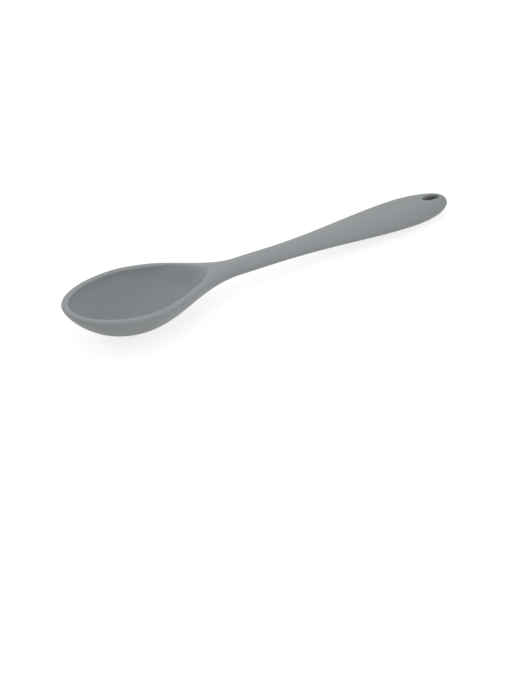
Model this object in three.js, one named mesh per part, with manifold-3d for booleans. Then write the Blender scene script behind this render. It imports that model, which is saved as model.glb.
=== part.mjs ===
// Silicone serving spoon: a stiff nylon core, overmoulded with one soft silicone skin.
// Millimetres. +X runs from the bowl's tip to the end of the handle and +Z is up. The spoon lies on Z = 0
// on two small flats, under the bowl's belly and under the heel of the grip.
import * as THREE from 'three';
import { mergeVertices } from 'three/addons/utils/BufferGeometryUtils.js';
import Module from 'manifold-3d';

// Lengths in order from the bowl's tip to the end of the handle.
const TIP_LENGTH = 44.5; // tip to the bowl's widest place
const SHOULDER_LENGTH = 72.5; // widest place to the shank
const SHANK_LENGTH = 28; // slim part of the handle
const GRIP_LENGTH = 100; // shank to the grip's widest place
const END_LENGTH = 35; // grip's widest place to the end
const NECK_LENGTH = 47.5; // last part of the shoulder, where rim turns into handle

// Widths across the outline.
const BOWL_WIDTH = 57;
const SHANK_WIDTH = 14;
const GRIP_WIDTH = 27.5;

// Heights. The edge is the line round the outline where the top meets the underside.
const BELLY_DEPTH = 22.8; // edge to the bottom of the bowl
const SHANK_DEPTH = 5.3;
const GRIP_DEPTH = 6.8;
const RIM_CROWN = 1.6; // edge to the top of the rim
const SHANK_CROWN = 3.3;
const GRIP_CROWN = 4.9;
const SHANK_HEIGHT = 13.3; // edge above the table where the grip begins
const GRIP_SAG = 0.15; // how far the edge sags between there and the heel
const RIM_FALL = 0.03; // drop of the edge for each millimetre towards the handle
const TIP_LIFT = 2; // rise of the edge at the tip
const REST_TRIM = 0.5; // shaved off the belly and the heel to make the flats

// Roundings, across the outline.
const RIM_ROUND = 1.8;
const GRIP_ROUND = 9.5;
const ROUND_POWER = 0.5; // a quarter ellipse
const BELLY_POWER = 0.775; // between an ellipse and a parabola

// The hollow of the bowl.
const RIM_WIDTH = 4.2;
const LIP_ROUND = 1.2;
const WALL = 4.2;
const HOLLOW_SIDE_LENGTH = 36; // widest place to where the back of the hollow turns in
const HOLLOW_END_LENGTH = 16.5;
const HOLLOW_POWER = 0.68; // a little steeper at the sides than the belly
const BACK_POWER = 1.5; // how softly the floor runs out towards the neck

// The hanging hole, an oval along the handle.
const HOLE_LENGTH = 13;
const HOLE_WIDTH = 5.6;
const HOLE_END_DISTANCE = 12; // hole's middle to the end of the handle
const HOLE_ROUND = 1;

// The core, and the silicone ties that pass through it.
const BLADE_THICKNESS = 1.4;
const SPINE_THICKNESS = 3.6;
const BLADE_INSET = 9; // outline to the core in the bowl
const SPINE_INSET = 2.8; // outline to the core in the handle
const BLADE_HOLE = 5;
const BLADE_HOLE_PITCH = 15; // along the bowl
const BLADE_HOLE_SPREAD = 10; // across the bowl
const SPINE_HOLE = 4.4;
const SPINE_HOLE_PITCH = 20;
const SPINE_HOLE_START = 12; // end of the shank to the first hole
const SPINE_HOLE_COUNT = 5;
const BOND_GAP = 0.3; // clearance between the core and the skin

// Mesh detail.
const FAN_RIBS = 12; // ribs in each quarter of the tip and the end
const BOWL_RIB_STEP = 3.6;
const HANDLE_RIB_STEP = 8;
const HOLLOW_STEPS = 6;
const RIM_FLAT_SHARE = 0.8; // most of the rim that its rounding may take in the mesh
const BACK_LIP_SHARE = 0.55; // how far the lip's line closes in at the back of the hollow
const HANDLE_LIP_SHARE = 0.5; // where the lip's line runs on along the handle
const ROUND_STEPS = 3;
const BELLY_STEPS = 8;
const CORE_STEPS = 6;
const HOLE_SEGMENTS = 20;
const OVAL_SEGMENTS = 36;
const SLOPE_STEP = 0.5;
const OVERRUN = 5; // how far a cutter passes the surface that it cuts

// Stations along the spoon, measured from the tip.
const WIDEST_AT = TIP_LENGTH;
const SHANK_AT = WIDEST_AT + SHOULDER_LENGTH;
const SHANK_END_AT = SHANK_AT + SHANK_LENGTH;
const GRIP_AT = SHANK_END_AT + GRIP_LENGTH;
const LENGTH = GRIP_AT + END_LENGTH;
const HEEL_AT = LENGTH - GRIP_ROUND;
const HOLLOW_TURN_AT = WIDEST_AT + HOLLOW_SIDE_LENGTH;
const HOLLOW_END_AT = HOLLOW_TURN_AT + HOLLOW_END_LENGTH;
const HOLE_AT = LENGTH - HOLE_END_DISTANCE;

const { clamp, lerp, smoothstep } = THREE.MathUtils;
const QUARTER = Math.PI / 2;

// Shares of the way from bowl to shank in plan, from rim to handle, and from shank to grip.
const shoulder = (s) => smoothstep(s, WIDEST_AT, SHANK_AT);
const neck = (s) => smoothstep(s, SHANK_AT - NECK_LENGTH, SHANK_AT);
const grip = (s) => smoothstep(s, SHANK_END_AT, GRIP_AT);

const halfWidth = (s) => lerp(lerp(BOWL_WIDTH, SHANK_WIDTH, shoulder(s)), GRIP_WIDTH, grip(s)) / 2;
const depth = (s) => lerp(lerp(BELLY_DEPTH, SHANK_DEPTH, shoulder(s)), GRIP_DEPTH, grip(s));
const crown = (s) => lerp(lerp(RIM_CROWN, SHANK_CROWN, neck(s)), GRIP_CROWN, grip(s));
const bellyPower = (s) => lerp(BELLY_POWER, ROUND_POWER, shoulder(s));

// Height of the edge: a gently falling rim with a lifted tip, then a slightly sagging line down to the heel.
function edgeHeight(s) {
  const lift = TIP_LIFT * Math.max(0, 1 - s / TIP_LENGTH) ** 2;
  const rim = BELLY_DEPTH - REST_TRIM - RIM_FALL * (s - WIDEST_AT) + lift;
  const run = (s - SHANK_END_AT) / (HEEL_AT - SHANK_END_AT);
  const handle = lerp(SHANK_HEIGHT, GRIP_DEPTH - REST_TRIM, run) - GRIP_SAG * 4 * run * (1 - run);
  return lerp(rim, handle, neck(s));
}

// The rib through a place in plan. Ribs run from a foot on the centre line out to the outline: square to the
// centre line, and fanned round the elliptic tip and end. Share is how far out the place lies, and reach is
// the distance from the foot to the outline's tangent.
function ribThrough(s, y) {
  const foot = clamp(s, WIDEST_AT, GRIP_AT);
  const width = halfWidth(foot);
  if (s === foot) {
    const slope = (halfWidth(s + SLOPE_STEP) - halfWidth(s - SLOPE_STEP)) / (2 * SLOPE_STEP);
    return { foot, share: Math.abs(y) / width, reach: width / Math.hypot(1, slope) };
  }
  const length = s < foot ? TIP_LENGTH : END_LENGTH;
  const share = Math.hypot((s - foot) / length, y / width);
  const reach = share / Math.hypot((s - foot) / length ** 2, y / width ** 2);
  return { foot, share, reach };
}

// How full a rounding is at some distance in from the outline: 0 at the outline, 1 past the rounding.
const fullness = (inset, round, power) => (1 - clamp(1 - inset / round, 0, 1) ** 2) ** power;

// Share of the way round the elliptic back of the hollow.
const hollowTurn = (s) => Math.max(0, (s - HOLLOW_TURN_AT) / HOLLOW_END_LENGTH);

// Depth of the hollow below the rim: a rounded lip, then a dome with steep sides. Towards the neck the lip
// fades, and the floor runs out softly.
function hollow(s, y) {
  if (s >= HOLLOW_END_AT) {
    return 0;
  }
  const { foot, share, reach } = ribThrough(s, y);
  const span = reach - RIM_WIDTH;
  const soft = smoothstep(hollowTurn(s), 0, 1);
  const round = LIP_ROUND * (1 - soft);
  const place = Math.hypot(hollowTurn(s), (share * reach) / span);
  if (place < 1) {
    const dome = depth(foot) + crown(foot) - WALL - round;
    return round + dome * (1 - place ** 2) ** lerp(HOLLOW_POWER, BACK_POWER, soft);
  }
  const left = Math.max(0, round - (place - 1) * span);
  return round - Math.sqrt(round ** 2 - left ** 2);
}

// Width of the top's rounding: small on the rim, the whole half width on the shank.
function topRound({ foot, reach }) {
  return lerp(lerp(RIM_ROUND, reach, neck(foot)), Math.min(GRIP_ROUND, reach), grip(foot));
}

function topHeight(s, y) {
  const rib = ribThrough(s, y);
  const rise = crown(rib.foot) * fullness((1 - rib.share) * rib.reach, topRound(rib), ROUND_POWER);
  return edgeHeight(s) + rise - hollow(s, y);
}

function bottomHeight(s, y) {
  const { foot, share, reach } = ribThrough(s, y);
  const round = lerp(reach, Math.min(GRIP_ROUND, reach), grip(foot));
  return edgeHeight(s) - depth(foot) * fullness((1 - share) * reach, round, bellyPower(foot));
}

// Length of a line square to the underside, for each millimetre of height.
function tilt(s, y) {
  const run = 2 * SLOPE_STEP;
  const lengthwise = (bottomHeight(s + SLOPE_STEP, y) - bottomHeight(s - SLOPE_STEP, y)) / run;
  const crosswise = (bottomHeight(s, y + SLOPE_STEP) - bottomHeight(s, y - SLOPE_STEP)) / run;
  return Math.hypot(1, lengthwise, crosswise);
}

// One face of the core, half way through the wall: side is 1 for the top and -1 for the underside.
const coreFace = (side, gap) => (s, y) => {
  const middle = (topHeight(s, y) + bottomHeight(s, y)) / 2;
  const half = lerp(BLADE_THICKNESS, SPINE_THICKNESS, neck(s)) / 2;
  return middle + side * (half + gap) * tilt(s, y);
};

const coreShare = (rib, gap) => {
  const { foot, reach } = ribThrough(rib.s, rib.y);
  return 1 - (lerp(BLADE_INSET, SPINE_INSET, neck(foot)) - gap) / reach;
};

const sineShare = (i, count) => Math.sin((i / count) * QUARTER);

// Stations of the ribs between the tip and the end.
function ribStations() {
  const stations = [];
  const addEven = (from, to, step) => {
    const count = Math.ceil((to - from) / step);
    for (let i = 0; i < count; i += 1) {
      stations.push(lerp(from, to, i / count));
    }
  };
  addEven(WIDEST_AT, SHANK_AT, BOWL_RIB_STEP);
  addEven(SHANK_AT, GRIP_AT, HANDLE_RIB_STEP);
  return stations;
}

// Ribs all the way round the outline, from the tip along one side and back along the other.
function outlineRibs() {
  const half = [];
  for (let i = 0; i < FAN_RIBS; i += 1) {
    const angle = (i / FAN_RIBS) * QUARTER;
    half.push({ s: TIP_LENGTH * (1 - Math.cos(angle)), y: halfWidth(WIDEST_AT) * Math.sin(angle) });
  }
  half.push(...ribStations().map((s) => ({ s, y: halfWidth(s) })));
  for (let i = 0; i <= FAN_RIBS; i += 1) {
    const angle = (i / FAN_RIBS) * QUARTER;
    half.push({ s: GRIP_AT + END_LENGTH * Math.sin(angle), y: halfWidth(GRIP_AT) * Math.cos(angle) });
  }
  const other = half.slice(1, -1).reverse();
  const ribs = [...half, ...other.map(({ s, y }) => ({ s, y: -y }))];
  return ribs.map((rib) => ({ ...rib, foot: clamp(rib.s, WIDEST_AT, GRIP_AT) }));
}

// A closed surface through rings of points. Each level gives, for a rib, the share of the rib and the height
// of its point. The first and last levels lie on the ribs' feet.
function shell(ribs, levels) {
  const rings = levels.map(({ share, height }) =>
    ribs.map((rib) => {
      const s = lerp(rib.foot, rib.s, share(rib));
      const y = rib.y * share(rib);
      return new THREE.Vector3(s - LENGTH / 2, y, height(s, y));
    }),
  );
  const points = [];
  const addTriangle = (a, b, c) => {
    if (!a.equals(b) && !b.equals(c) && !c.equals(a)) {
      points.push(a, b, c);
    }
  };
  for (let j = 0; j + 1 < rings.length; j += 1) {
    ribs.forEach((rib, i) => {
      const next = (i + 1) % ribs.length;
      const [a, b] = [rings[j][i], rings[j][next]];
      const [c, d] = [rings[j + 1][next], rings[j + 1][i]];
      if (rib.y >= 0 && ribs[next].y >= 0) {
        addTriangle(a, b, c);
        addTriangle(a, c, d);
      } else {
        addTriangle(a, b, d);
        addTriangle(b, c, d);
      }
    });
  }
  return new THREE.BufferGeometry().setFromPoints(points);
}

// Share of a rib at which the lip of the hollow crosses it. Behind the hollow its line runs on to the end.
function lipShare(rib) {
  const { reach } = ribThrough(rib.s, rib.y);
  const closed = Math.sqrt(Math.max(1 - hollowTurn(rib.s) ** 2, BACK_LIP_SHARE ** 2));
  const behind = smoothstep(rib.s, HOLLOW_END_AT, SHANK_AT);
  return lerp((1 - RIM_WIDTH / reach) * closed, HANDLE_LIP_SHARE, behind);
}

// Shares of a rib for the top, which follow the lip of the hollow and the rim's rounding.
function topShares() {
  const shares = [];
  for (let i = 0; i <= HOLLOW_STEPS; i += 1) {
    shares.push((rib) => lipShare(rib) * sineShare(i, HOLLOW_STEPS));
  }
  const lipEnd = (rib, part) => lipShare(rib) + (LIP_ROUND * part) / ribThrough(rib.s, rib.y).reach;
  for (let i = ROUND_STEPS - 1; i >= 0; i -= 1) {
    shares.push((rib) => lipEnd(rib, 1 - sineShare(i, ROUND_STEPS)));
  }
  for (let i = 0; i <= ROUND_STEPS; i += 1) {
    shares.push((rib) => {
      const at = ribThrough(rib.s, rib.y);
      const round = Math.min(topRound(at) / at.reach, (1 - lipEnd(rib, 1)) * RIM_FLAT_SHARE);
      return 1 - round * (1 - sineShare(i, ROUND_STEPS));
    });
  }
  return shares;
}

function skinLevels() {
  const levels = topShares().map((share) => ({ share, height: topHeight }));
  for (let i = BELLY_STEPS - 1; i >= 0; i -= 1) {
    levels.push({ share: () => sineShare(i, BELLY_STEPS), height: bottomHeight });
  }
  return levels;
}

function coreLevels(gap) {
  const levels = [];
  for (let i = 0; i <= CORE_STEPS; i += 1) {
    levels.push({ share: (rib) => (i / CORE_STEPS) * coreShare(rib, gap), height: coreFace(1, gap) });
  }
  for (let i = CORE_STEPS; i >= 0; i -= 1) {
    levels.push({ share: (rib) => (i / CORE_STEPS) * coreShare(rib, gap), height: coreFace(-1, gap) });
  }
  return levels;
}

// The cutter of the hanging hole, flared to round its upper and lower edges.
function holeCutter() {
  const ribs = [];
  for (let i = 0; i < OVAL_SEGMENTS; i += 1) {
    const angle = -(i / OVAL_SEGMENTS) * 4 * QUARTER;
    const flare = { s: Math.cos(angle) * HOLE_ROUND, y: Math.sin(angle) * HOLE_ROUND };
    const wall = { s: (Math.cos(angle) * HOLE_LENGTH) / 2, y: (Math.sin(angle) * HOLE_WIDTH) / 2 };
    const s = HOLE_AT + wall.s + flare.s;
    const y = wall.y + flare.y;
    ribs.push({ s, y, foot: HOLE_AT, wallShare: Math.hypot(wall.s, wall.y) / Math.hypot(s - HOLE_AT, y) });
  }
  const above = (s, y) => topHeight(s, y) + OVERRUN;
  const below = (s, y) => bottomHeight(s, y) - OVERRUN;
  const levels = [
    { share: () => 0, height: above },
    { share: () => 1, height: above },
  ];
  const rounding = (i) => {
    const out = 1 - sineShare(i, ROUND_STEPS);
    const down = HOLE_ROUND * (1 - Math.cos((i / ROUND_STEPS) * QUARTER));
    return { share: (rib) => lerp(rib.wallShare, 1, out), down };
  };
  for (let i = 0; i <= ROUND_STEPS; i += 1) {
    const { share, down } = rounding(i);
    levels.push({ share, height: (s, y) => topHeight(s, y) - down });
  }
  for (let i = ROUND_STEPS; i >= 0; i -= 1) {
    const { share, down } = rounding(i);
    levels.push({ share, height: (s, y) => bottomHeight(s, y) + down });
  }
  levels.push({ share: () => 1, height: below }, { share: () => 0, height: below });
  return shell(ribs, levels);
}

// Upright posts at the core's holes, thinner than the holes by a clearance on every side.
function tiePosts(clearance) {
  const posts = [];
  const addPost = (s, y, diameter) => {
    const height = BELLY_DEPTH + 2 * OVERRUN;
    const post = new THREE.CylinderGeometry(diameter / 2, diameter / 2, height, HOLE_SEGMENTS);
    post.scale(1 - (2 * clearance) / diameter, 1, 1 - (2 * clearance) / diameter);
    posts.push(post.rotateX(QUARTER).translate(s - LENGTH / 2, y, BELLY_DEPTH / 2));
  };
  for (const row of [-1, 0, 1]) {
    for (const column of [-1, 0, 1]) {
      addPost(WIDEST_AT + row * BLADE_HOLE_PITCH, column * BLADE_HOLE_SPREAD, BLADE_HOLE);
    }
  }
  for (let i = 0; i < SPINE_HOLE_COUNT; i += 1) {
    addPost(SHANK_END_AT + SPINE_HOLE_START + i * SPINE_HOLE_PITCH, 0, SPINE_HOLE);
  }
  return posts;
}

const wasm = await Module();
wasm.setup();

function solid(geometry) {
  const bare = geometry.clone();
  bare.deleteAttribute('normal');
  bare.deleteAttribute('uv');
  const welded = mergeVertices(bare);
  return new wasm.Manifold(
    new wasm.Mesh({
      numProp: 3,
      vertProperties: new Float32Array(welded.attributes.position.array),
      triVerts: new Uint32Array(welded.index.array),
    }),
  );
}

const cut = (body, geometries) => geometries.reduce((left, tool) => left.subtract(solid(tool)), body);

function piece(name, body, material) {
  const { vertProperties, triVerts } = body.getMesh();
  const geometry = new THREE.BufferGeometry();
  geometry.setAttribute('position', new THREE.BufferAttribute(new Float32Array(vertProperties), 3));
  geometry.setIndex(new THREE.BufferAttribute(new Uint32Array(triVerts), 1));
  geometry.computeVertexNormals();
  const mesh = new THREE.Mesh(geometry, material);
  mesh.name = name;
  return mesh;
}

const table = new THREE.BoxGeometry(2 * LENGTH, 2 * BOWL_WIDTH, 2 * OVERRUN).translate(0, 0, -OVERRUN);
const ribs = outlineRibs();
const cavity = cut(solid(shell(ribs, coreLevels(BOND_GAP))), tiePosts(BOND_GAP));
const skin = cut(solid(shell(ribs, skinLevels())).subtract(cavity), [holeCutter(), table]);
const core = cut(solid(shell(ribs, coreLevels(0))), [...tiePosts(0), holeCutter()]);

const silicone = new THREE.MeshStandardMaterial({ name: 'silicone', color: 0x8f9494, roughness: 0.7 });
const nylon = new THREE.MeshStandardMaterial({ name: 'nylon', color: 0x55585a, roughness: 0.55 });

const group = new THREE.Group();
group.name = 'silicone_serving_spoon';
group.add(piece('skin', skin, silicone), piece('core', core, nylon));

export default group;
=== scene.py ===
"""Looks of the silicone serving spoon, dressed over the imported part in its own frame.

Metres, +X from the bowl's tip to the end of the handle, +Z up, the spoon lying on Z = 0.
"""

import logging
import math
from contextlib import contextmanager
from dataclasses import asdict, dataclass, field
from enum import Enum
from typing import Any, ClassVar, Dict, Iterator, List, NamedTuple, Sequence, Tuple, Union

import bmesh
import bpy
import numpy as np
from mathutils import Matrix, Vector


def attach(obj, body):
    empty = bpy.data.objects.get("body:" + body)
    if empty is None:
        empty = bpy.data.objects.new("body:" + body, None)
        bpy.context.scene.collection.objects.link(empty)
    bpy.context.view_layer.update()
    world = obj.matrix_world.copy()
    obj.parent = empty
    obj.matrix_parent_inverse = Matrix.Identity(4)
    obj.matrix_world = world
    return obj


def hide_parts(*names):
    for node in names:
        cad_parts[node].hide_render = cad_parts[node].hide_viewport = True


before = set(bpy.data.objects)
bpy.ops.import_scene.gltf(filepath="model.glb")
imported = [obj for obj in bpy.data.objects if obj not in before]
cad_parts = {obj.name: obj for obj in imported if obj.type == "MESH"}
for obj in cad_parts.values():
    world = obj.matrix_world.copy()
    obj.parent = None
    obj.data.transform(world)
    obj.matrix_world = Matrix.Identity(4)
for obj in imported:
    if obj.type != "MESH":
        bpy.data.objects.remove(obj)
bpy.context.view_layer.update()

LOG = logging.getLogger("serving_spoon")
ROOT_BODY = "root"
MERGE_DISTANCE = 1e-6
TINY = 1e-9
QUARTER_TURN = math.pi / 2.0

Colour = Tuple[float, float, float, float]
Point = Tuple[float, float, float]
Value = Union[float, np.ndarray, "Field"]


class Field(np.lib.mixins.NDArrayOperatorsMixin):
    """A value in a node tree. Arithmetic and numpy functions on it add maths nodes to the tree."""

    OPERATIONS: ClassVar[Dict[np.ufunc, str]] = {
        np.add: "ADD",
        np.subtract: "SUBTRACT",
        np.multiply: "MULTIPLY",
        np.divide: "DIVIDE",
        np.power: "POWER",
        np.sqrt: "SQRT",
        np.maximum: "MAXIMUM",
        np.minimum: "MINIMUM",
        np.less: "LESS_THAN",
    }

    def __init__(self, tree: bpy.types.NodeTree, socket: bpy.types.NodeSocket) -> None:
        """Wraps one output socket.

        Args:
            tree: Node tree that the socket belongs to.
            socket: Output that carries the value.
        """
        self.tree = tree
        self.socket = socket

    def __array_ufunc__(
        self, ufunc: np.ufunc, method: str, *values: Value, **options: Any
    ) -> "Field":
        """Adds the maths node that stands for a numpy function.

        Args:
            ufunc: The numpy function.
            method: How numpy calls it, which is always a plain call here.
            values: Fields or numbers that go in.
            options: Options of the call, which are never used here.

        Returns:
            The result as a field.
        """
        node = self.tree.nodes.new("ShaderNodeMath")
        node.operation = self.OPERATIONS[ufunc]
        for socket, value in zip(node.inputs, values):
            if isinstance(value, Field):
                self.tree.links.new(value.socket, socket)
            else:
                socket.default_value = float(value)
        return Field(self.tree, node.outputs[0])


def lerp(start: Value, end: Value, share: Value) -> Value:
    """Goes the given share of the way from start to end."""
    return start + (end - start) * share


def clip(value: Value, low: Value, high: Value) -> Value:
    """Keeps a value between two bounds."""
    return np.minimum(np.maximum(value, low), high)


def hypot(first: Value, second: Value) -> Value:
    """Gives the length of a slanting line from its two sides."""
    return np.sqrt(first * first + second * second)


def smoothstep(value: Value, low: Value, high: Value) -> Value:
    """Eases from 0 at low to 1 at high."""
    share = clip((value - low) / (high - low), 0.0, 1.0)
    return share * share * (3.0 - 2.0 * share)


def eased_steps(count: int) -> np.ndarray:
    """Gives shares from 0 to 1 that close up towards 1."""
    return np.sin(np.linspace(0.0, QUARTER_TURN, count + 1))


class Rib(NamedTuple):
    """Where a place in plan lies on its rib, which runs from the centre line to the outline.

    Attributes:
        foot: Station of the rib's start on the centre line.
        share: Share of the rib at which the place lies.
        reach: Distance from the foot to the outline's tangent.
    """

    foot: Value
    share: Value
    reach: Value


@dataclass(frozen=True)
class SpoonLaw:
    """The rule of the spoon's form: its outline, and the heights of its top and underside.

    It takes plain sizes, and arrays of places, to lay the mesh out in plan. Filled with node
    fields instead, the same rule becomes the node tree that raises the plan. A station is a
    distance from the bowl's tip, along the centre line.
    """

    # Lengths in order from the bowl's tip to the end of the handle.
    tip_length: Value = 0.0445
    shoulder_length: Value = 0.0725
    shank_length: Value = 0.028
    grip_length: Value = 0.1
    end_length: Value = 0.035
    neck_length: Value = 0.0475
    # Widths across the outline.
    bowl_width: Value = 0.057
    shank_width: Value = 0.014
    grip_width: Value = 0.0275
    # Heights, from the edge where the top meets the underside.
    belly_depth: Value = 0.0228
    shank_depth: Value = 0.0053
    grip_depth: Value = 0.0068
    rim_crown: Value = 0.0016
    shank_crown: Value = 0.0033
    grip_crown: Value = 0.0049
    shank_height: Value = 0.0133
    grip_sag: Value = 0.00015
    rim_fall: Value = 0.03
    tip_lift: Value = 0.002
    rest_trim: Value = 0.0005
    # Roundings across the outline.
    rim_round: Value = 0.0018
    grip_round: Value = 0.0095
    round_power: Value = 0.5
    belly_power: Value = 0.775
    # The hollow of the bowl.
    rim_width: Value = 0.0042
    lip_round: Value = 0.0012
    wall: Value = 0.0042
    hollow_side_length: Value = 0.036
    hollow_end_length: Value = 0.0165
    fade_length: Value = 0.0132
    hollow_power: Value = 0.68
    back_power: Value = 1.5
    # Small steps for slopes and rounding errors.
    slope_step: Value = 0.0005
    edge_slack: Value = 1e-7

    @property
    def widest_at(self) -> Value:
        """Station of the bowl's widest place."""
        return self.tip_length

    @property
    def shank_at(self) -> Value:
        """Station where the shank begins."""
        return self.widest_at + self.shoulder_length

    @property
    def shank_end_at(self) -> Value:
        """Station where the grip begins."""
        return self.shank_at + self.shank_length

    @property
    def grip_at(self) -> Value:
        """Station of the grip's widest place."""
        return self.shank_end_at + self.grip_length

    @property
    def length(self) -> Value:
        """Length of the whole spoon."""
        return self.grip_at + self.end_length

    @property
    def heel_at(self) -> Value:
        """Station where the heel rests on the table."""
        return self.length - self.grip_round

    @property
    def hollow_turn_at(self) -> Value:
        """Station where the back of the hollow turns in."""
        return self.widest_at + self.hollow_side_length

    @property
    def hollow_end_at(self) -> Value:
        """Station of the back of the hollow."""
        return self.hollow_turn_at + self.hollow_end_length

    @property
    def fade_at(self) -> Value:
        """Station where the lip of the hollow begins to fade."""
        return self.hollow_turn_at - self.fade_length

    def shoulder(self, station: Value) -> Value:
        """Share of the way from bowl to shank in plan."""
        return smoothstep(station, self.widest_at, self.shank_at)

    def neck(self, station: Value) -> Value:
        """Share of the way from rim to handle."""
        return smoothstep(station, self.shank_at - self.neck_length, self.shank_at)

    def grip(self, station: Value) -> Value:
        """Share of the way from shank to grip."""
        return smoothstep(station, self.shank_end_at, self.grip_at)

    def half_width(self, station: Value) -> Value:
        """Half the width between the bowl's and the grip's widest places."""
        slim = lerp(self.bowl_width, self.shank_width, self.shoulder(station))
        return lerp(slim, self.grip_width, self.grip(station)) / 2.0

    def depth(self, station: Value) -> Value:
        """Depth of the underside below the edge, on the centre line."""
        slim = lerp(self.belly_depth, self.shank_depth, self.shoulder(station))
        return lerp(slim, self.grip_depth, self.grip(station))

    def crown(self, station: Value) -> Value:
        """Rise of the top above the edge, on the centre line."""
        slim = lerp(self.rim_crown, self.shank_crown, self.neck(station))
        return lerp(slim, self.grip_crown, self.grip(station))

    def power(self, station: Value) -> Value:
        """Power of the underside's curve across the spoon."""
        return lerp(self.belly_power, self.round_power, self.shoulder(station))

    def edge_height(self, station: Value) -> Value:
        """Gives the height of the edge, all the way along the spoon.

        Args:
            station: Distance from the tip, along the centre line.

        Returns:
            The height: a falling rim with a lifted tip, then a sagging line to the heel.
        """
        towards_tip = np.maximum(1.0 - station / self.tip_length, 0.0)
        fall = self.rim_fall * (station - self.widest_at)
        rim = self.belly_depth - self.rest_trim - fall + self.tip_lift * towards_tip**2.0
        run = (station - self.shank_end_at) / (self.heel_at - self.shank_end_at)
        line = lerp(self.shank_height, self.grip_depth - self.rest_trim, run)
        sag = self.grip_sag * 4.0 * run * (1.0 - run)
        return lerp(rim, line - sag, self.neck(station))

    def fan_length(self, out: Value) -> Value:
        """Length of the elliptic fan that a place lies in, which is the tip's or the end's."""
        return lerp(self.end_length, self.tip_length, out < 0.0)

    def outline(self, station: Value) -> Value:
        """Gives half the width, all the way along the spoon.

        Args:
            station: Distance from the tip, along the centre line.

        Returns:
            Half the width, with the elliptic tip and end.
        """
        foot = clip(station, self.widest_at, self.grip_at)
        out = (station - foot) / self.fan_length(station - foot)
        return self.half_width(foot) * np.sqrt(np.maximum(1.0 - out * out, 0.0))

    def rib_through(self, station: Value, across: Value) -> Rib:
        """Finds the rib through a place in plan.

        Args:
            station: Distance from the tip, along the centre line.
            across: Distance from the centre line.

        Returns:
            The rib, square to the centre line or fanned round the tip or the end.
        """
        foot = clip(station, self.widest_at, self.grip_at)
        width = self.half_width(foot)
        ahead = self.half_width(foot + self.slope_step)
        behind = self.half_width(foot - self.slope_step)
        slope = (ahead - behind) / (2.0 * self.slope_step)
        out = station - foot
        length = self.fan_length(out)
        share = hypot(out / length, across / width)
        steepness = hypot(out / length / length, across / width / width)
        reach = np.maximum(share, TINY) / np.maximum(steepness, TINY / width)
        return Rib(foot, share, reach / hypot(1.0, slope))

    def inset(self, rib: Rib) -> Value:
        """Distance in from the outline. The slack keeps rounding errors from opening the edge."""
        return (1.0 - rib.share) * rib.reach - self.edge_slack

    def fullness(self, inset: Value, rounding: Value, power: Value) -> Value:
        """Gives how full a rounding is: 0 at the outline, 1 past the rounding."""
        left = clip(1.0 - inset / rounding, 0.0, 1.0)
        return np.maximum(1.0 - left * left, 0.0) ** power

    def hollow_turn(self, station: Value) -> Value:
        """Share of the way round the back of the hollow."""
        return np.maximum((station - self.hollow_turn_at) / self.hollow_end_length, 0.0)

    def hollow(self, station: Value, across: Value) -> Value:
        """Gives the depth of the hollow below the rim.

        Args:
            station: Distance from the tip, along the centre line.
            across: Distance from the centre line.

        Returns:
            The depth: a rounded lip, then a dome with steep sides. Towards the neck the lip
            fades, and the floor runs out softly.
        """
        rib = self.rib_through(station, across)
        span = np.maximum(rib.reach - self.rim_width, TINY)
        turn = self.hollow_turn(station)
        soft = smoothstep(station, self.fade_at, self.hollow_end_at)
        place = hypot(turn, rib.share * rib.reach / span)
        round_left = self.lip_round * (1.0 - soft)
        dome = self.depth(rib.foot) + self.crown(rib.foot) - self.wall - round_left
        power = lerp(self.hollow_power, self.back_power, soft)
        bowl = np.maximum(1.0 - place * place, 0.0) ** power
        left = clip(round_left - (place - 1.0) * span, 0.0, round_left)
        lip = round_left - np.sqrt(np.maximum(round_left * round_left - left * left, 0.0))
        return lerp(lip, round_left + dome * bowl, place < 1.0)

    def top_round(self, rib: Rib) -> Value:
        """Width of the top's rounding: small on the rim, the whole half width on the shank."""
        slim = lerp(self.rim_round, rib.reach, self.neck(rib.foot))
        return lerp(slim, np.minimum(self.grip_round, rib.reach), self.grip(rib.foot))

    def top_height(self, station: Value, across: Value) -> Value:
        """Gives the height of the top.

        Args:
            station: Distance from the tip, along the centre line.
            across: Distance from the centre line.

        Returns:
            The height above the table.
        """
        rib = self.rib_through(station, across)
        full = self.fullness(self.inset(rib), self.top_round(rib), self.round_power)
        rise = self.crown(rib.foot) * full
        return self.edge_height(station) + rise - self.hollow(station, across)

    def bottom_height(self, station: Value, across: Value) -> Value:
        """Gives the height of the underside.

        Args:
            station: Distance from the tip, along the centre line.
            across: Distance from the centre line.

        Returns:
            The height above the table, before the rest flats are made.
        """
        rib = self.rib_through(station, across)
        rounding = lerp(rib.reach, np.minimum(self.grip_round, rib.reach), self.grip(rib.foot))
        full = self.fullness(self.inset(rib), rounding, self.power(rib.foot))
        return self.edge_height(station) - self.depth(rib.foot) * full


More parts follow.
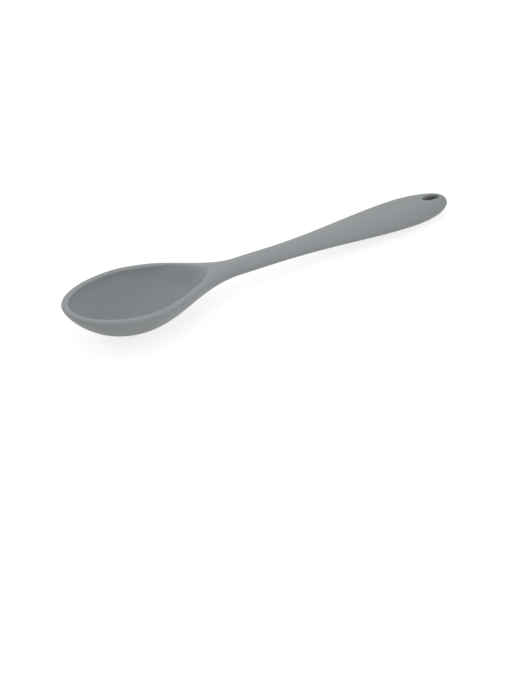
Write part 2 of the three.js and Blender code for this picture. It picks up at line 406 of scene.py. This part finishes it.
class ShapeTree:
    """A Geometry Nodes tree with named size inputs, which is run once on a piece."""

    def __init__(self, name: str) -> None:
        """Starts an empty tree.

        Args:
            name: Name of the tree and of its modifier.
        """
        self.tree = bpy.data.node_groups.new(name, "GeometryNodeTree")
        geometry = "NodeSocketGeometry"
        self.tree.interface.new_socket("Geometry", in_out="INPUT", socket_type=geometry)
        self.tree.interface.new_socket("Geometry", in_out="OUTPUT", socket_type=geometry)
        self.start = self.tree.nodes.new("NodeGroupInput")
        self.sizes: Dict[str, float] = {}

    def add(self, kind: str, *links: bpy.types.NodeSocket, **settings: Any) -> bpy.types.Node:
        """Adds a node.

        Args:
            kind: Type of the node.
            links: Outputs that feed the node's first inputs, in order.
            settings: Properties of the node.

        Returns:
            The new node.
        """
        node = self.tree.nodes.new(kind)
        for key, value in settings.items():
            setattr(node, key, value)
        for source, target in zip(links, node.inputs):
            self.tree.links.new(source, target)
        return node

    def size(self, name: str, value: float) -> Field:
        """Adds a named size input.

        Args:
            name: Name of the size.
            value: Size that this spoon has.

        Returns:
            The input as a field.
        """
        title = name.replace("_", " ").capitalize()
        socket = self.tree.interface.new_socket(
            title, in_out="INPUT", socket_type="NodeSocketFloat"
        )
        self.sizes[socket.identifier] = value
        return Field(self.tree, self.start.outputs[title])

    def attribute(self, name: str) -> Field:
        """Reads one of the mesh's own values.

        Args:
            name: Name of the value.

        Returns:
            The value as a field.
        """
        node = self.add("GeometryNodeInputNamedAttribute", data_type="FLOAT")
        node.inputs["Name"].default_value = name
        return Field(self.tree, node.outputs["Attribute"])

    def end(self, geometry: bpy.types.NodeSocket, material: bpy.types.Material) -> None:
        """Closes the tree with a plain mesh in one material.

        Args:
            geometry: Finished geometry.
            material: Material of all its faces.
        """
        realized = self.add("GeometryNodeRealizeInstances", geometry)
        dressed = self.add("GeometryNodeSetMaterial", realized.outputs["Geometry"])
        dressed.inputs["Material"].default_value = material
        self.add("NodeGroupOutput", dressed.outputs["Geometry"])

    def run(self, piece: bpy.types.Object) -> None:
        """Runs the tree on a piece and keeps the result as its plain mesh.

        Args:
            piece: Object whose mesh goes into the tree.
        """
        modifier = piece.modifiers.new(self.tree.name, "NODES")
        modifier.node_group = self.tree
        for identifier, value in self.sizes.items():
            modifier[identifier] = value
        keep_result(piece)


def keep_result(piece: bpy.types.Object) -> None:
    """Turns what a piece's modifiers make into its plain mesh, and removes the modifiers.

    Args:
        piece: Object with modifiers.
    """
    graph = bpy.context.evaluated_depsgraph_get()
    made = bpy.data.meshes.new_from_object(piece.evaluated_get(graph), depsgraph=graph)
    spent = piece.data
    piece.modifiers.clear()
    piece.data = made
    made.name = piece.name
    bpy.data.meshes.remove(spent)


@contextmanager
def editing(mesh: bpy.types.Mesh) -> Iterator[bmesh.types.BMesh]:
    """Opens a mesh for editing, and writes it back afterwards.

    Args:
        mesh: Mesh to edit.

    Yields:
        Its points and faces.
    """
    body = bmesh.new()
    body.from_mesh(mesh)
    yield body
    body.to_mesh(mesh)
    body.free()


def merge_points(body: bmesh.types.BMesh) -> None:
    """Merges points that coincide, so that seams close and no face is without an area."""
    bmesh.ops.remove_doubles(body, verts=body.verts, dist=MERGE_DISTANCE)


def link_piece(name: str, mesh: bpy.types.Mesh) -> bpy.types.Object:
    """Puts a mesh into the scene.

    Args:
        name: Name of the piece.
        mesh: Its mesh, in the part's frame.

    Returns:
        The new object, at the origin.
    """
    piece = bpy.data.objects.new(name, mesh)
    bpy.context.scene.collection.objects.link(piece)
    return piece


def grey(level: float) -> Colour:
    """Gives an even grey."""
    return (level, level, level, 1.0)


def mix_by_sight(
    tree: bpy.types.NodeTree, lights: bpy.types.Node, shows: bpy.types.Node
) -> bpy.types.Node:
    """Mixes the shader that lights the spoon with the one that is seen or mirrored.

    Args:
        tree: Node tree of a material or a world.
        lights: Shader for rays that gather light.
        shows: Shader for rays from the camera, from gloss and through clear pieces.

    Returns:
        The mixed shader.
    """
    rays = tree.nodes.new("ShaderNodeLightPath").outputs
    sights = ("Is Camera Ray", "Is Glossy Ray", "Is Transmission Ray")
    camera, gloss, clear = (Field(tree, rays[name]) for name in sights)
    seen = np.maximum(np.maximum(camera, gloss), clear)
    mixed = tree.nodes.new("ShaderNodeMixShader")
    for socket, target in zip((seen.socket, lights.outputs[0], shows.outputs[0]), mixed.inputs):
        tree.links.new(socket, target)
    return mixed


@dataclass(frozen=True)
class Grain:
    """Fine relief of a surface.

    Attributes:
        size: Size of its blotches, in metres.
        detail: Finer layers on top of the first.
        strength: Strength of its bumps.
        height: Height of its bumps, in metres.
    """

    size: float
    detail: float
    strength: float
    height: float


class ShaderDesk:
    """A material's node tree, with short ways to add nodes to it."""

    MIX_SHARE: ClassVar[int] = 0
    MIX_COLOURS: ClassVar[Tuple[int, int]] = (6, 7)
    MIX_RESULT: ClassVar[int] = 2

    def __init__(self, name: str) -> None:
        """Starts an empty material.

        Args:
            name: Name of the material.
        """
        self.material = bpy.data.materials.new(name)
        self.material.use_nodes = True
        self.tree = self.material.node_tree
        self.tree.nodes.clear()
        self.output = self.add("ShaderNodeOutputMaterial")

    def add(self, kind: str, **inputs: Any) -> bpy.types.Node:
        """Adds a node.

        Args:
            kind: Type of the node.
            inputs: Values or outputs for its inputs, with _ for a space in the name.

        Returns:
            The new node.
        """
        node = self.tree.nodes.new(kind)
        for key, value in inputs.items():
            socket = node.inputs[key.replace("_", " ")]
            if isinstance(value, bpy.types.NodeSocket):
                self.tree.links.new(value, socket)
            else:
                socket.default_value = value
        return node

    def place(self, stretch: Point = (1.0, 1.0, 1.0)) -> bpy.types.NodeSocket:
        """Gives places on the piece, in metres.

        Args:
            stretch: Factors for the three axes.

        Returns:
            The places as an output socket.
        """
        coordinates = self.add("ShaderNodeTexCoord").outputs["Object"]
        return self.add("ShaderNodeMapping", Vector=coordinates, Scale=stretch).outputs["Vector"]

    def noise(
        self, place: bpy.types.NodeSocket, grain: float, detail: float
    ) -> bpy.types.NodeSocket:
        """Adds soft noise.

        Args:
            place: Places on the piece.
            grain: Size of its blotches, in metres.
            detail: Finer layers on top of the first.

        Returns:
            The noise, from 0 to 1.
        """
        node = self.add("ShaderNodeTexNoise", Vector=place, Scale=1.0 / grain, Detail=detail)
        return node.outputs["Fac"]

    def relief(
        self, place: bpy.types.NodeSocket, grain: Grain, **under: bpy.types.NodeSocket
    ) -> bpy.types.NodeSocket:
        """Adds fine relief.

        Args:
            place: Places on the piece.
            grain: The relief.
            under: Coarser relief that it lies on, as Normal.

        Returns:
            The surface's normal.
        """
        bump = self.add(
            "ShaderNodeBump",
            Height=self.noise(place, grain.size, grain.detail),
            Strength=grain.strength,
            Distance=grain.height,
            **under,
        )
        return bump.outputs["Normal"]

    def ranged(
        self, value: bpy.types.NodeSocket, low: float, high: float, contrast: float = 0.2
    ) -> bpy.types.NodeSocket:
        """Spreads noise over a range.

        Args:
            value: Noise, from 0 to 1.
            low: Least result.
            high: Greatest result.
            contrast: How far from its middle the noise reaches the ends of the range.

        Returns:
            The result as an output socket.
        """
        node = self.add("ShaderNodeMapRange", Value=value)
        node.inputs["From Min"].default_value = 0.5 - contrast
        node.inputs["From Max"].default_value = 0.5 + contrast
        node.inputs["To Min"].default_value = low
        node.inputs["To Max"].default_value = high
        return node.outputs["Result"]

    def blend(
        self, share: Union[float, bpy.types.NodeSocket], first: Any, second: Any
    ) -> bpy.types.NodeSocket:
        """Mixes two colours.

        Args:
            share: Share of the second colour.
            first: Colour or output socket.
            second: Colour or output socket.

        Returns:
            The mixed colour.
        """
        node = self.add("ShaderNodeMix")
        node.data_type = "RGBA"
        for index, value in zip((self.MIX_SHARE, *self.MIX_COLOURS), (share, first, second)):
            if isinstance(value, bpy.types.NodeSocket):
                self.tree.links.new(value, node.inputs[index])
            else:
                node.inputs[index].default_value = value
        return node.outputs[self.MIX_RESULT]

    def finish(self, shader: bpy.types.Node) -> bpy.types.Material:
        """Joins the last shader to the surface and hands the material over."""
        self.tree.links.new(shader.outputs[0], self.output.inputs["Surface"])
        return self.material


@dataclass(frozen=True)
class SiliconeFinish:
    """Matte grey silicone: cloudy pigment, a satin mould texture and soft grazing light."""

    name: str = "matte_grey_silicone"
    pale: Colour = (0.262, 0.277, 0.285, 1.0)
    deep: Colour = (0.248, 0.263, 0.271, 1.0)
    dust: Colour = (0.31, 0.32, 0.325, 1.0)
    cloud_size: float = 0.03
    cloud_detail: float = 3.0
    speckle_size: float = 0.0011
    speckle_detail: float = 2.0
    speckle_share: float = 0.1
    swell: Grain = Grain(0.006, detail=1.0, strength=0.08, height=0.0003)
    satin: Grain = Grain(0.00035, detail=2.0, strength=0.1, height=0.00005)
    least_roughness: float = 0.47
    most_roughness: float = 0.57
    refractive_index: float = 1.41
    sheen: float = 0.03
    sheen_roughness: float = 0.5

    def build(self) -> bpy.types.Material:
        """Makes the material.

        Returns:
            The silicone.
        """
        desk = ShaderDesk(self.name)
        place = desk.place()
        clouds = desk.noise(place, self.cloud_size, self.cloud_detail)
        speckle = desk.noise(place, self.speckle_size, self.speckle_detail)
        pigment = desk.blend(desk.ranged(clouds, 0.0, 1.0), self.deep, self.pale)
        dusted = desk.blend(desk.ranged(speckle, 0.0, self.speckle_share), pigment, self.dust)
        shader = desk.add(
            "ShaderNodeBsdfPrincipled",
            Base_Color=dusted,
            Roughness=desk.ranged(clouds, self.least_roughness, self.most_roughness),
            IOR=self.refractive_index,
            Sheen_Weight=self.sheen,
            Sheen_Roughness=self.sheen_roughness,
            Normal=desk.relief(place, self.satin, Normal=desk.relief(place, self.swell)),
        )
        return desk.finish(shader)


@dataclass(frozen=True)
class NylonFinish:
    """Dark glass-filled nylon: faint fibre streaks along the spoon and a dull skin."""

    name: str = "dark_filled_nylon"
    pale: Colour = (0.105, 0.112, 0.117, 1.0)
    deep: Colour = (0.075, 0.081, 0.085, 1.0)
    streak_size: float = 0.0009
    streak_detail: float = 3.0
    streak_stretch: float = 0.12
    pits: Grain = Grain(0.0004, detail=2.0, strength=0.2, height=0.00005)
    least_roughness: float = 0.42
    most_roughness: float = 0.6
    refractive_index: float = 1.53

    def build(self) -> bpy.types.Material:
        """Makes the material.

        Returns:
            The nylon.
        """
        desk = ShaderDesk(self.name)
        along = desk.place((self.streak_stretch, 1.0, 1.0))
        streaks = desk.noise(along, self.streak_size, self.streak_detail)
        shader = desk.add(
            "ShaderNodeBsdfPrincipled",
            Base_Color=desk.blend(desk.ranged(streaks, 0.0, 1.0), self.deep, self.pale),
            Roughness=desk.ranged(streaks, self.least_roughness, self.most_roughness),
            IOR=self.refractive_index,
            Normal=desk.relief(desk.place(), self.pits),
        )
        return desk.finish(shader)


@dataclass(frozen=True)
class PaperFinish:
    """White paper under the spoon, which shows as white and keeps the spoon's shadow.

    Attributes:
        name: Name of the material.
        bounce: How white the paper is as a source of bounced light.
        shade: Part of the seen white that comes from the lamps, and so shows the shadow.
        glow: Part of the seen white that the paper gives by itself.
        fibre_size: Size of the paper's fibres, in metres.
        fibre_detail: Finer layers of fibres.
        fibre_contrast: Share by which the fibres are darker.
    """

    name: str = "white_paper"
    bounce: float = 0.75
    shade: float = 0.35
    glow: float = 0.77
    fibre_size: float = 0.002
    fibre_detail: float = 2.0
    fibre_contrast: float = 0.01

    def build(self) -> bpy.types.Material:
        """Makes the material.

        Returns:
            The paper.
        """
        desk = ShaderDesk(self.name)
        fibre = desk.noise(desk.place(), self.fibre_size, self.fibre_detail)
        dim = grey(self.bounce * (1.0 - self.fibre_contrast))
        white = desk.blend(fibre, dim, grey(self.bounce))
        lights = desk.add("ShaderNodeBsdfDiffuse", Color=white)
        shows = desk.add("ShaderNodeBsdfDiffuse", Color=grey(self.shade))
        glow = desk.add("ShaderNodeEmission", Strength=self.glow)
        pale = desk.add("ShaderNodeAddShader")
        desk.tree.links.new(shows.outputs[0], pale.inputs[0])
        desk.tree.links.new(glow.outputs[0], pale.inputs[1])
        return desk.finish(mix_by_sight(desk.tree, lights, pale))


class Side(Enum):
    """The two sheets of the skin, by the share of its height at which they lie."""

    UNDERSIDE = 0.0
    TOP = 1.0


@dataclass
class PlanMesh:
    """The skin's mesh in plan, before it is raised.

    Attributes:
        places: Station and distance across of the points.
        rises: Share of the height at which the points lie, from underside to top.
        sinks: Height that is added to the points.
        faces: Corners of the faces.
        count: Number of points so far.
    """

    places: List[np.ndarray] = field(default_factory=list)
    rises: List[np.ndarray] = field(default_factory=list)
    sinks: List[np.ndarray] = field(default_factory=list)
    faces: List[np.ndarray] = field(default_factory=list)
    count: int = 0

    def add_sheet(
        self, places: np.ndarray, rises: np.ndarray, sinks: np.ndarray, facing_up: bool
    ) -> None:
        """Adds a sheet of four-sided faces and its mirror image across the centre line.

        Args:
            places: Station and distance across for rows and columns of points.
            rises: Share of the height at which each row lies, from underside to top.
            sinks: Height that is added to each row.
            facing_up: True for the top, False for the underside and the wall of the hole, whose
                faces turn the other way round.
        """
        rows, columns = places.shape[:2]
        index = np.arange(rows * columns).reshape(rows, columns)
        corners = (index[:-1, :-1], index[:-1, 1:], index[1:, 1:], index[1:, :-1])
        quads = np.stack(corners, axis=-1).reshape(-1, 4)
        for mirror in (1.0, -1.0):
            self.places.append((places * (1.0, mirror)).reshape(-1, 2))
            self.rises.append(np.repeat(rises, columns))
            self.sinks.append(np.repeat(sinks, columns))
            turned = quads if facing_up == (mirror > 0.0) else quads[:, ::-1]
            self.faces.append(turned + self.count)
            self.count += rows * columns

    def build(self, name: str, middle: float) -> bpy.types.Mesh:
        """Makes the flat mesh.

        Args:
            name: Name of the mesh.
            middle: Station that lies at the frame's origin.

        Returns:
            The mesh, with a rise and a sink for each point.
        """
        places = np.concatenate(self.places)
        points = np.column_stack((places[:, 0] - middle, places[:, 1], np.zeros(len(places))))
        mesh = bpy.data.meshes.new(name)
        mesh.from_pydata(points.tolist(), [], np.concatenate(self.faces).tolist())
        for key, parts in (("rise", self.rises), ("sink", self.sinks)):
            values = np.concatenate(parts).astype(np.float32)
            mesh.attributes.new(key, "FLOAT", "POINT").data.foreach_set("value", values)
        return mesh


@dataclass
class SiliconeSkin:
    """The soft skin: bowl, neck, grip and hanging hole in one moulding, hollow for the core."""

    law: SpoonLaw
    # The hanging hole, and the gap to the core.
    hole_length: float = 0.013
    hole_width: float = 0.0056
    hole_end_distance: float = 0.012
    hole_round: float = 0.001
    bond_gap: float = 0.0003
    # How close the ribs stand, and how far they lean towards the bowl beside the hole.
    fan_ribs: int = 40
    bowl_rib_step: float = 0.0009
    handle_rib_step: float = 0.0016
    hole_ribs: int = 40
    hole_lean: float = 0.008
    # How many steps each stretch of a rib has.
    hollow_steps: int = 18
    lip_steps: int = 6
    rim_steps: int = 3
    round_steps: int = 8
    belly_steps: int = 28
    hole_wall_steps: int = 6
    # Shares of a rib that keep its steps apart where the hollow, the lip and the rim run out.
    handle_lip_share: float = 0.5
    back_lip_share: float = 0.55
    rim_flat_share: float = 0.8
    # Edges that are bent more than this stay sharp.
    sharp_angle: float = math.radians(40.0)

    @property
    def hole_at(self) -> float:
        """Station of the hanging hole's middle."""
        return self.law.length - self.hole_end_distance

    @property
    def hole_start(self) -> float:
        """Station where the hole's rounded edge begins."""
        return self.hole_at - self.hole_length / 2.0 - self.hole_round

    def stations(self) -> np.ndarray:
        """Places the square ribs.

        Returns:
            Their stations, from the bowl's widest place to the hanging hole.
        """
        law = self.law

        def even(start: float, end: float, step: float) -> np.ndarray:
            """Spaces ribs evenly and leaves the last one out."""
            return np.linspace(start, end, math.ceil((end - start) / step), endpoint=False)

        bowl = even(law.widest_at, law.shank_at, self.bowl_rib_step)
        handle = even(law.shank_at, self.hole_start, self.handle_rib_step)
        return np.concatenate((bowl, handle))

    def hole_ring(self, offset: float) -> np.ndarray:
        """Places points round half of the hanging hole.

        Args:
            offset: Distance out from the hole's wall.

        Returns:
            Stations and distances across, from the bowl's side of the hole to the end's.
        """
        angles = np.linspace(math.pi, 0.0, self.hole_ribs + 1)
        along = self.hole_at + (self.hole_length / 2.0 + offset) * np.cos(angles)
        return np.column_stack((along, (self.hole_width / 2.0 + offset) * np.sin(angles)))

    def rib_ends(self) -> Tuple[np.ndarray, np.ndarray]:
        """Lays out the ribs of one half, from the tip to the end of the handle.

        Returns:
            Their starts, on the centre line or the hole's edge, and their ends on the outline.
        """
        law = self.law
        fan = np.linspace(0.0, QUARTER_TURN, self.fan_ribs, endpoint=False)
        tip_ends = np.column_stack(
            (law.tip_length * (1.0 - np.cos(fan)), law.bowl_width / 2.0 * np.sin(fan))
        )
        tip_starts = np.tile((law.widest_at, 0.0), (self.fan_ribs, 1))
        stations = self.stations()
        lean = self.hole_lean * smoothstep(stations, law.grip_at, self.hole_start)
        ends = np.column_stack((stations - lean, law.outline(stations - lean)))
        starts = np.column_stack((stations, np.zeros_like(stations)))
        first = math.asin((self.hole_start - self.hole_lean - law.grip_at) / law.end_length)
        turn = np.linspace(first, QUARTER_TURN, self.hole_ribs + 1)
        hole_ends = np.column_stack(
            (law.grip_at + law.end_length * np.sin(turn), law.grip_width / 2.0 * np.cos(turn))
        )
        hole_starts = self.hole_ring(self.hole_round)
        return (
            np.concatenate((tip_starts, starts, hole_starts)),
            np.concatenate((tip_ends, ends, hole_ends)),
        )

    def top_shares(self, ends: np.ndarray) -> np.ndarray:
        """Shares of the ribs for the top, which follow the lip of the hollow and the rim.

        Args:
            ends: Ends of the ribs on the outline.

        Returns:
            One row of shares for each line along the spoon.
        """
        law = self.law
        rib = law.rib_through(ends[:, 0], ends[:, 1])
        turn = law.hollow_turn(ends[:, 0])
        shrink = np.sqrt(np.maximum(1.0 - turn * turn, self.back_lip_share**2))
        behind = smoothstep(ends[:, 0], law.hollow_end_at, law.shank_at)
        lip = (1.0 - law.rim_width / rib.reach) * shrink
        lip = lerp(lip, self.handle_lip_share, behind)
        lip_end = lip + law.lip_round / rib.reach
        rounding = np.minimum(
            law.top_round(rib) / rib.reach, (1.0 - lip_end) * self.rim_flat_share
        )
        flat = np.linspace(0.0, 1.0, self.rim_steps + 1)[1:-1]
        rows = [lip * share for share in eased_steps(self.hollow_steps)]
        rows += [lerp(lip_end, lip, share) for share in eased_steps(self.lip_steps)[-2::-1]]
        rows += [lerp(lip_end, 1.0 - rounding, share) for share in flat]
        rows += [lerp(1.0 - rounding, 1.0, share) for share in eased_steps(self.round_steps)]
        return np.array(rows)

    def add_hole_wall(self, mesh: PlanMesh) -> None:
        """Adds the wall of the hanging hole, with its two rounded edges.

        Args:
            mesh: The skin in plan.
        """
        turn = np.linspace(0.0, QUARTER_TURN, self.lip_steps + 1)
        flare, drop = 1.0 - np.sin(turn), 1.0 - np.cos(turn)
        down = np.linspace(0.0, 1.0, self.hole_wall_steps + 1)[1:-1]
        offsets = np.concatenate((flare, np.zeros_like(down), flare[::-1])) * self.hole_round
        sinks = np.concatenate((-drop, lerp(-1.0, 1.0, down), drop[::-1])) * self.hole_round
        rises = np.concatenate((np.ones_like(flare), 1.0 - down, np.zeros_like(flare)))
        wall = np.array([self.hole_ring(offset) for offset in offsets])
        mesh.add_sheet(wall, rises, sinks, facing_up=False)

    def plan(self) -> PlanMesh:
        """Lays out the whole skin in plan.

        Returns:
            Two sheets and the wall of the hanging hole.
        """
        starts, ends = self.rib_ends()
        belly = eased_steps(self.belly_steps)
        layouts = {
            Side.TOP: self.top_shares(ends),
            Side.UNDERSIDE: np.repeat(belly[:, None], len(ends), axis=1),
        }
        mesh = PlanMesh()
        for side, shares in layouts.items():
            places = lerp(starts, ends, shares[:, :, None])
            rises = np.full(len(shares), side.value)
            mesh.add_sheet(places, rises, np.zeros(len(shares)), facing_up=side is Side.TOP)
        self.add_hole_wall(mesh)
        return mesh

    def raise_plan(self, skin: bpy.types.Object, material: bpy.types.Material) -> None:
        """Raises the flat mesh into the spoon by the law, in Geometry Nodes.

        Args:
            skin: Object with the flat mesh.
            material: The silicone.
        """
        nodes = ShapeTree("spoon_law")
        sizes = asdict(self.law)
        law = SpoonLaw(**{name: nodes.size(name, value) for name, value in sizes.items()})
        position = nodes.add("GeometryNodeInputPosition").outputs[0]
        split = nodes.add("ShaderNodeSeparateXYZ", position)
        station = Field(nodes.tree, split.outputs["X"]) + law.length / 2.0
        across = Field(nodes.tree, split.outputs["Y"])
        top = law.top_height(station, across)
        bottom = law.bottom_height(station, across)
        height = lerp(bottom, top, nodes.attribute("rise")) + nodes.attribute("sink")
        rested = np.maximum(height, 0.0)
        place = nodes.add(
            "ShaderNodeCombineXYZ", split.outputs["X"], split.outputs["Y"], rested.socket
        )
        moved = nodes.add("GeometryNodeSetPosition", nodes.start.outputs["Geometry"])
        nodes.tree.links.new(place.outputs["Vector"], moved.inputs["Position"])
        closed = nodes.add("GeometryNodeMergeByDistance", moved.outputs["Geometry"])
        closed.inputs["Distance"].default_value = MERGE_DISTANCE
        nodes.end(closed.outputs["Geometry"], material)
        nodes.run(skin)

    def grown_core(self, core: bpy.types.Object, material: bpy.types.Material) -> bpy.types.Object:
        """Makes the cutter of the space for the core, which is the core with its clearance.

        Args:
            core: The CAD node of the core.
            material: Material of the cut faces.

        Returns:
            The cutter.
        """
        mesh = core.data.copy()
        with editing(mesh) as body:
            merge_points(body)
            body.normal_update()
            factors = [vert.calc_shell_factor() for vert in body.verts]
            for vert, factor in zip(body.verts, factors):
                vert.co += vert.normal * factor * self.bond_gap
        mesh.materials.clear()
        mesh.materials.append(material)
        mesh.polygons.foreach_set("material_index", [0] * len(mesh.polygons))
        return link_piece("core_space", mesh)

    def build(self, core: bpy.types.Object, material: bpy.types.Material) -> bpy.types.Object:
        """Makes the skin.

        Args:
            core: The CAD node of the core, which the skin encloses.
            material: The silicone.

        Returns:
            The finished piece.
        """
        skin = link_piece("silicone_skin", self.plan().build("skin_plan", self.law.length / 2.0))
        self.raise_plan(skin, material)
        with editing(skin.data) as body:
            bmesh.ops.recalc_face_normals(body, faces=body.faces)
        cutter = self.grown_core(core, material)
        space = skin.modifiers.new("core_space", "BOOLEAN")
        space.operation = "DIFFERENCE"
        space.solver = "EXACT"
        space.object = cutter
        keep_result(skin)
        with editing(skin.data) as body:
            merge_points(body)
        bpy.data.objects.remove(cutter)
        for key in ("rise", "sink"):
            skin.data.attributes.remove(skin.data.attributes[key])
        skin.data.shade_smooth()
        skin.data.set_sharp_from_angle(angle=self.sharp_angle)
        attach(skin, ROOT_BODY)
        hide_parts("skin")
        return skin


@dataclass
class PartingLine:
    """The fine raised line that the two halves of the mould leave along the edge."""

    law: SpoonLaw
    bead_radius: float = 0.00006
    bead_sides: int = 8
    points_per_side: int = 260

    def outline_points(self) -> np.ndarray:
        """Places points round the edge.

        Returns:
            A closed row of points, close together at the tip and the end.
        """
        eased = (1.0 - np.cos(np.linspace(0.0, math.pi, self.points_per_side))) / 2.0
        station = self.law.length * eased
        half = np.column_stack(
            (
                station - self.law.length / 2.0,
                self.law.outline(station),
                self.law.edge_height(station),
            )
        )
        other = half[-2:0:-1] * (1.0, -1.0, 1.0)
        return np.concatenate((half, other))

    def build(self, material: bpy.types.Material) -> bpy.types.Object:
        """Sweeps the bead along the edge, in Geometry Nodes.

        Args:
            material: The silicone.

        Returns:
            The finished piece.
        """
        points = self.outline_points()
        edges = [(i, (i + 1) % len(points)) for i in range(len(points))]
        mesh = bpy.data.meshes.new("edge_line")
        mesh.from_pydata(points.tolist(), edges, [])
        line = link_piece("parting_line", mesh)
        nodes = ShapeTree("parting_line")
        radius = nodes.size("bead_radius", self.bead_radius)
        path = nodes.add("GeometryNodeMeshToCurve", nodes.start.outputs["Geometry"])
        section = nodes.add("GeometryNodeCurvePrimitiveCircle")
        section.inputs["Resolution"].default_value = self.bead_sides
        nodes.tree.links.new(radius.socket, section.inputs["Radius"])
        bead = nodes.add(
            "GeometryNodeCurveToMesh", path.outputs["Curve"], section.outputs["Curve"]
        )
        nodes.end(bead.outputs["Mesh"], material)
        nodes.run(line)
        line.data.shade_smooth()
        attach(line, ROOT_BODY)
        return line


@dataclass
class NylonCore:
    """The stiff core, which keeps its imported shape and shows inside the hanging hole."""

    node: bpy.types.Object

    def dress(self, material: bpy.types.Material) -> bpy.types.Object:
        """Gives the core its finish.

        Args:
            material: The nylon.

        Returns:
            The core's own object.
        """
        for slot in self.node.material_slots:
            slot.material = material
        return self.node


def direction(azimuth: float, elevation: float) -> Vector:
    """Gives the unit vector towards a camera or lamp.

    Args:
        azimuth: Turn round the spoon in degrees, 0 for one that looks along +Y.
        elevation: Angle above the table in degrees.

    Returns:
        The direction from the spoon.
    """
    turn, tilt = math.radians(azimuth), math.radians(elevation)
    flat = math.cos(tilt)
    return Vector((math.sin(turn) * flat, -math.cos(turn) * flat, math.sin(tilt)))


@dataclass(frozen=True)
class SoftBox:
    """A large soft lamp, placed by the direction that its light comes from.

    Attributes:
        name: Name of the lamp.
        azimuth: Turn round the spoon, in degrees.
        elevation: Angle above the table, in degrees.
        distance: Distance from the point that it faces, in metres.
        size: Length of its sides, in metres.
        power: Power in watts.
    """

    name: str
    azimuth: float
    elevation: float
    distance: float
    size: float
    power: float

    def build(self, aim: Vector) -> bpy.types.Object:
        """Makes the lamp.

        Args:
            aim: Point that it faces.

        Returns:
            The lamp.
        """
        data = bpy.data.lights.new(self.name, "AREA")
        data.shape = "SQUARE"
        data.size, data.energy = self.size, self.power
        lamp = bpy.data.objects.new(self.name, data)
        back = direction(self.azimuth, self.elevation)
        lamp.location = aim + back * self.distance
        lamp.rotation_euler = back.to_track_quat("Z", "Y").to_euler()
        bpy.context.scene.collection.objects.link(lamp)
        return lamp


@dataclass
class Studio:
    """White paper, soft boxes, an even sky and the camera."""

    paper: PaperFinish = PaperFinish()
    paper_size: float = 12.0
    paper_drop: float = 0.0001
    sky_strength: float = 0.69
    camera_azimuth: float = -35.646
    camera_elevation: float = 34.967
    camera_distance: float = 1.1
    camera_aim: Point = (-0.02047, -0.023046, -0.034337)
    camera_lens: float = 93.617
    sensor: float = 36.0
    box_aim: Point = (-0.05, 0.0, 0.015)
    boxes: Sequence[SoftBox] = (
        SoftBox("back_left_box", azimuth=229.0, elevation=36.0, distance=0.66, size=0.4, power=0.7),
        SoftBox("back_right_box", azimuth=144.0, elevation=27.0, distance=0.84, size=0.4, power=0.35),
        SoftBox("top_box", azimuth=90.0, elevation=85.0, distance=0.34, size=0.25, power=0.2),
        SoftBox("front_box", azimuth=13.0, elevation=19.0, distance=0.33, size=0.25, power=0.2),
    )

    def build_paper(self) -> bpy.types.Object:
        """Lays the white paper under the spoon.

        Returns:
            The paper.
        """
        half = self.paper_size / 2.0
        corners = [(-half, -half), (half, -half), (half, half), (-half, half)]
        mesh = bpy.data.meshes.new("paper")
        mesh.from_pydata([(x, y, -self.paper_drop) for x, y in corners], [], [(0, 1, 2, 3)])
        mesh.materials.append(self.paper.build())
        paper = link_piece("paper", mesh)
        return paper

    def build_sky(self) -> bpy.types.World:
        """Makes the even sky, which the camera sees as white.

        Returns:
            The world.
        """
        world = bpy.data.worlds.new("sky")
        world.use_nodes = True
        nodes, links = world.node_tree.nodes, world.node_tree.links
        nodes.clear()
        output = nodes.new("ShaderNodeOutputWorld")
        lights = nodes.new("ShaderNodeBackground")
        shows = nodes.new("ShaderNodeBackground")
        for background in (lights, shows):
            background.inputs["Color"].default_value = grey(1.0)
        lights.inputs["Strength"].default_value = self.sky_strength
        mixed = mix_by_sight(world.node_tree, lights, shows)
        links.new(mixed.outputs[0], output.inputs["Surface"])
        bpy.context.scene.world = world
        return world

    def build_camera(self) -> bpy.types.Object:
        """Sets the camera at the photograph's viewing angle.

        Returns:
            The camera.
        """
        data = bpy.data.cameras.new("camera")
        data.sensor_width, data.lens = self.sensor, self.camera_lens
        camera = bpy.data.objects.new("camera", data)
        back = direction(self.camera_azimuth, self.camera_elevation)
        camera.location = Vector(self.camera_aim) + back * self.camera_distance
        turn = (90.0 - self.camera_elevation, 0.0, self.camera_azimuth)
        camera.rotation_euler = [math.radians(angle) for angle in turn]
        bpy.context.scene.collection.objects.link(camera)
        bpy.context.scene.camera = camera
        return camera

    def build(self) -> None:
        """Sets up everything round the spoon."""
        bpy.context.scene.view_settings.view_transform = "Standard"
        self.build_paper()
        self.build_sky()
        for box in self.boxes:
            box.build(Vector(self.box_aim))
        self.build_camera()


def main() -> None:
    """Builds and dresses the spoon piece by piece, then the studio round it."""
    logging.basicConfig(level=logging.INFO, format="%(name)s: %(message)s")
    law = SpoonLaw()
    silicone = SiliconeFinish().build()
    nylon = NylonFinish().build()
    core = NylonCore(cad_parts["core"]).dress(nylon)
    skin = SiliconeSkin(law).build(core, silicone)
    line = PartingLine(law).build(silicone)
    for piece in (core, skin, line):
        LOG.info("%s: %d faces", piece.name, len(piece.data.polygons))
    Studio().build()


if __name__ == "__main__":
    main()
